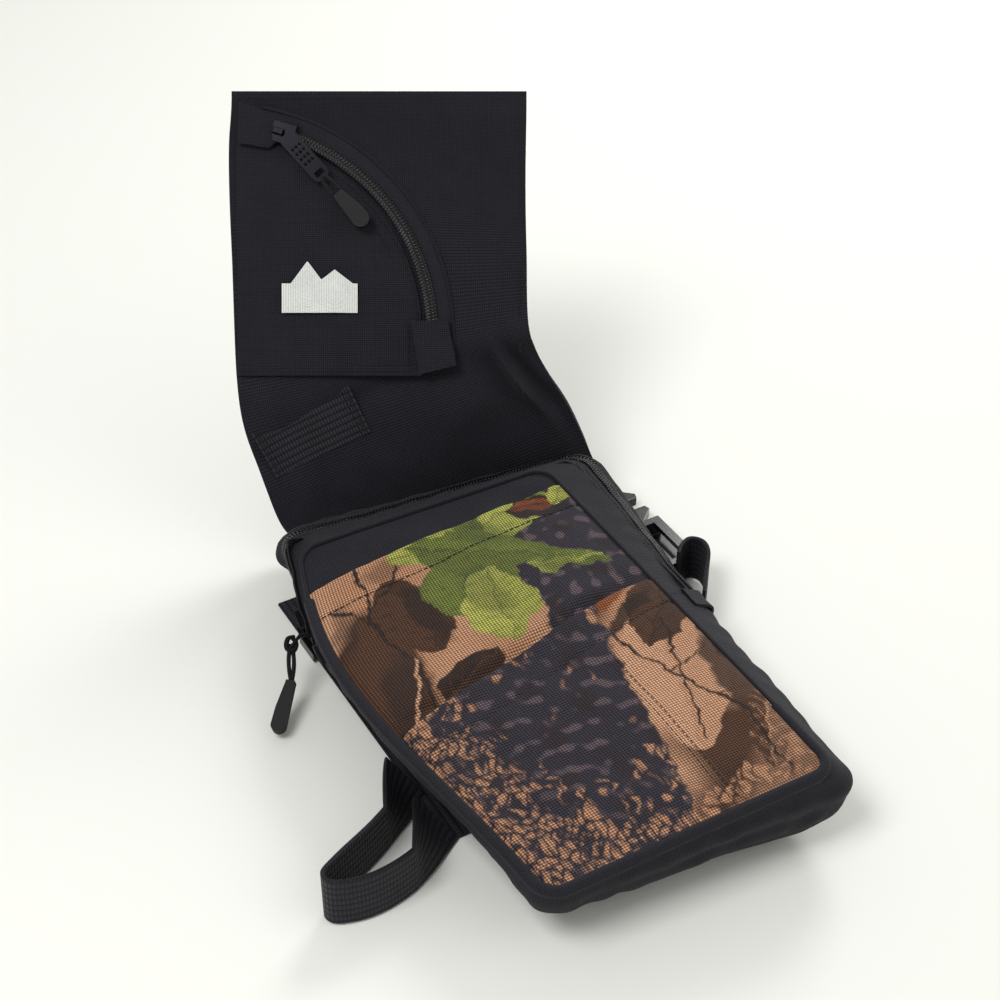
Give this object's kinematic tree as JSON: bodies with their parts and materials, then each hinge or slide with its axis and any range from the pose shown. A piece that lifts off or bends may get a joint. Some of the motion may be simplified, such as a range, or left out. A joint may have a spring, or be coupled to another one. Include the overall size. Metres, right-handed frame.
{
  "type": "sling bag",
  "caption": "Black sling bag with zipped pouch, pleated leaf-print front pockets, raised curved-zip flap, webbing strap and side-release buckle",
  "frame": {"origin": "on the table plane, under the middle of the front panel, on the flat lower half of the back panel", "axes": "+X across the bag to its right, +Y from its bottom to its top, +Z from the back panel out through the front panel"},
  "size_m": [0.2448, 0.3877, 0.1847],
  "materials": {
    "pack_cloth": "matte plain-weave coated polyester",
    "lining_cloth": "thin taffeta lining",
    "printed_cloth": "matte oxford weave with a leaf and bark print",
    "webbing": "ribbed polypropylene webbing, tape and cord",
    "foam": "closed-cell foam",
    "zip_coil": "nylon coil",
    "black_metal": "satin black enamel",
    "black_acetal": "semi-gloss moulded acetal",
    "soft_grip": "matte moulded rubber"
  },
  "bodies": {
    "bag": {"back_panel": "pack_cloth", "back_foam": "foam", "back_lining": "lining_cloth", "front_panel": "pack_cloth", "front_lining": "lining_cloth", "lower_gusset": "pack_cloth", "zip_gusset_back": "pack_cloth", "zip_gusset_front": "pack_cloth", "main_zip_tape_back": "webbing", "main_zip_tape_front": "webbing", "main_zip_chain": "zip_coil", "lining_sleeve": "lining_cloth", "front_welt": "pack_cloth", "upper_pocket": "printed_cloth", "lower_pocket": "printed_cloth", "zip_end_tab_left": "pack_cloth", "zip_end_tab_right": "pack_cloth", "strap_loop": "webbing", "strap_run": "webbing", "strap_hank": "webbing", "strap_keeper": "webbing", "strap_end": "webbing", "side_loop": "webbing"},
    "main_zip_slider": {"main_slider": "black_metal"},
    "main_zip_pull": {"main_pull_link": "black_metal", "main_pull_cord": "webbing", "main_pull_grip": "soft_grip"},
    "flap_base": {"flap_root": "pack_cloth", "flap_webbing_strip": "webbing"},
    "flap": {"flap_outer_panel": "pack_cloth", "flap_lining_panel": "pack_cloth", "flap_zip_tape_inner": "webbing", "flap_zip_tape_outer": "webbing", "flap_zip_chain": "zip_coil", "flap_pocket_panel": "pack_cloth", "flap_zip_cover_upper": "pack_cloth", "flap_zip_cover_lower": "pack_cloth"},
    "flap_zip_slider": {"flap_slider": "black_metal"},
    "flap_zip_tab": {"flap_pull_tab": "black_metal"},
    "flap_zip_grip": {"flap_pull_cord": "webbing", "flap_pull_grip": "soft_grip"},
    "buckle_socket": {"buckle_female": "black_acetal"},
    "buckle_plug": {"buckle_male": "black_acetal"},
    "upper_prong": {"buckle_prong_upper": "black_acetal"},
    "lower_prong": {"buckle_prong_lower": "black_acetal"},
    "adjuster": {"strap_adjuster": "black_acetal"}
  },
  "joints": [
    {"name": "flap_fold", "type": "hinge", "parent": "bag", "child": "flap_base", "pos_m": [-0.057, 0.15, 0.024], "axis": [-0.993, 0.1184, 0], "range_deg": [-55, 0]},
    {"name": "flap_lay", "type": "hinge", "parent": "flap_base", "child": "flap", "pos_m": [0.00559, 0.16098, 0.07374], "axis": [0.9434, -0.2137, 0.2536], "range_deg": [0, 77.5]},
    {"name": "main_slider_travel", "type": "slide", "parent": "bag", "child": "main_zip_slider", "axis": [0.1681, 0.9807, 0.0998], "range_m": [0, 0.008]},
    {"name": "main_pull_swing", "type": "hinge", "parent": "main_zip_slider", "child": "main_zip_pull", "pos_m": [-0.07953, 0.07249, 0.02857], "axis": [-0.7303, 0.6832, 0], "range_deg": [0, 60]},
    {"name": "flap_slider_travel", "type": "hinge", "parent": "flap", "child": "flap_zip_slider", "pos_m": [-0.05182, 0.207, 0.09886], "axis": [-0.3886, -0.673, 0.6293], "range_deg": [-56, 0]},
    {"name": "flap_tab_lift", "type": "hinge", "parent": "flap_zip_slider", "child": "flap_zip_tab", "pos_m": [0.0002, 0.24057, 0.17325], "axis": [-0.8541, 0.0069, -0.52], "range_deg": [0, 80]},
    {"name": "flap_grip_swing", "type": "hinge", "parent": "flap_zip_tab", "child": "flap_zip_grip", "pos_m": [0.01078, 0.21794, 0.15557], "axis": [-0.8541, 0.0069, -0.52], "range_deg": [0, 60]},
    {"name": "buckle_socket_swing", "type": "hinge", "parent": "bag", "child": "buckle_socket", "pos_m": [0.0915, 0.0665, 0.0055], "axis": [0, -1, 0], "range_deg": [0, 25]},
    {"name": "buckle_plug_swing", "type": "hinge", "parent": "bag", "child": "buckle_plug", "pos_m": [0.0677, 0.1005, 0.004], "axis": [0, -1, 0], "range_deg": [0, 10]},
    {"name": "upper_prong_flex", "type": "hinge", "parent": "buckle_plug", "child": "upper_prong", "pos_m": [0.0784, 0.1085, 0.004], "axis": [0, 0, 1], "range_deg": [-4, 0], "stiffness_Nm_per_rad": 0.3},
    {"name": "lower_prong_flex", "type": "hinge", "parent": "buckle_plug", "child": "lower_prong", "pos_m": [0.0784, 0.0925, 0.004], "axis": [0, 0, -1], "range_deg": [-4, 0], "stiffness_Nm_per_rad": 0.3},
    {"name": "strap_adjust", "type": "slide", "parent": "bag", "child": "adjuster", "axis": [0, 1, 0], "range_m": [-0.02, 0]}
  ],
  "couplings": [
    {"joint": "flap_lay", "follows": "flap_fold", "ratio": -1.4042}
  ]
}
